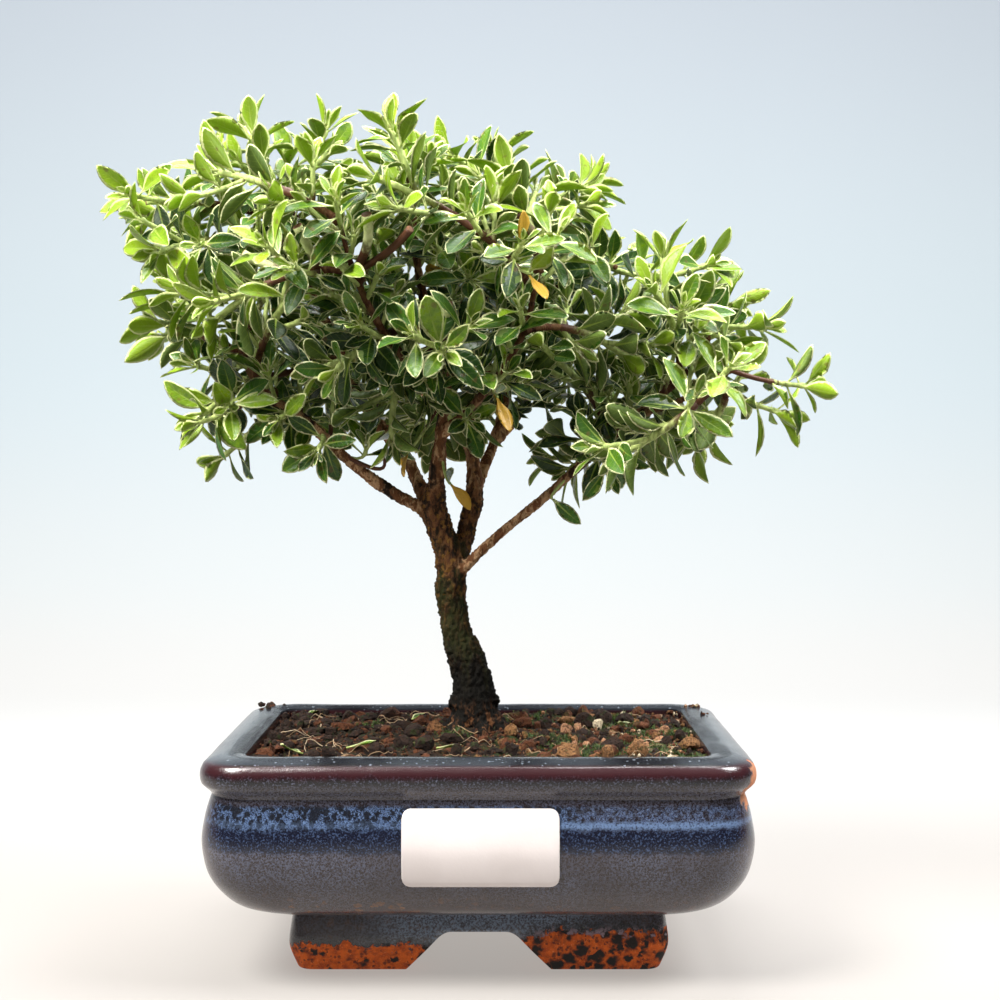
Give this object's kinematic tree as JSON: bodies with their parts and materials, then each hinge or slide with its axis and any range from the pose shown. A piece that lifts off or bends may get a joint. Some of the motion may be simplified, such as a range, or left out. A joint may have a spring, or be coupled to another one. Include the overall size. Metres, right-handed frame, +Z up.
{
  "type": "serissa bonsai in a pot",
  "caption": "Small serissa bonsai with variegated leaves on an upright branched trunk, in gravelly soil in a glazed rectangular pot on arched feet.",
  "frame": {"origin": "on the surface the pot stands on, under the middle of the whole object's box", "axes": "+Z up along the trunk; +X to the right and +Y to the back, seen from the pot's labelled long side"},
  "size_m": [0.2088, 0.1244, 0.2598],
  "materials": {
    "pot": "gloss",
    "drain_mesh": "matte",
    "label": "satin",
    "soil": "matte",
    "bark": "matte",
    "foliage": "satin"
  },
  "bodies": {
    "root": {"pot": "pot", "drain_mesh_left": "drain_mesh", "drain_mesh_right": "drain_mesh", "label": "label", "soil": "soil", "trunk": "bark", "spray_01": "foliage", "spray_02": "foliage", "spray_03": "foliage", "spray_04": "foliage", "spray_05": "foliage", "spray_06": "foliage", "spray_07": "foliage", "spray_08": "foliage", "spray_09": "foliage", "spray_10": "foliage", "spray_11": "foliage", "spray_12": "foliage", "spray_13": "foliage", "spray_14": "foliage", "spray_15": "foliage", "spray_16": "foliage", "spray_17": "foliage", "spray_18": "foliage", "spray_19": "foliage", "spray_20": "foliage", "spray_21": "foliage", "spray_22": "foliage", "spray_23": "foliage", "spray_24": "foliage", "spray_25": "foliage", "spray_26": "foliage", "spray_27": "foliage", "spray_28": "foliage", "spray_29": "foliage", "spray_30": "foliage", "spray_31": "foliage", "spray_32": "foliage", "spray_33": "foliage", "spray_34": "foliage", "spray_35": "foliage", "spray_36": "foliage", "spray_37": "foliage", "spray_38": "foliage", "spray_39": "foliage", "spray_40": "foliage", "spray_41": "foliage"}
  },
  "joints": []
}
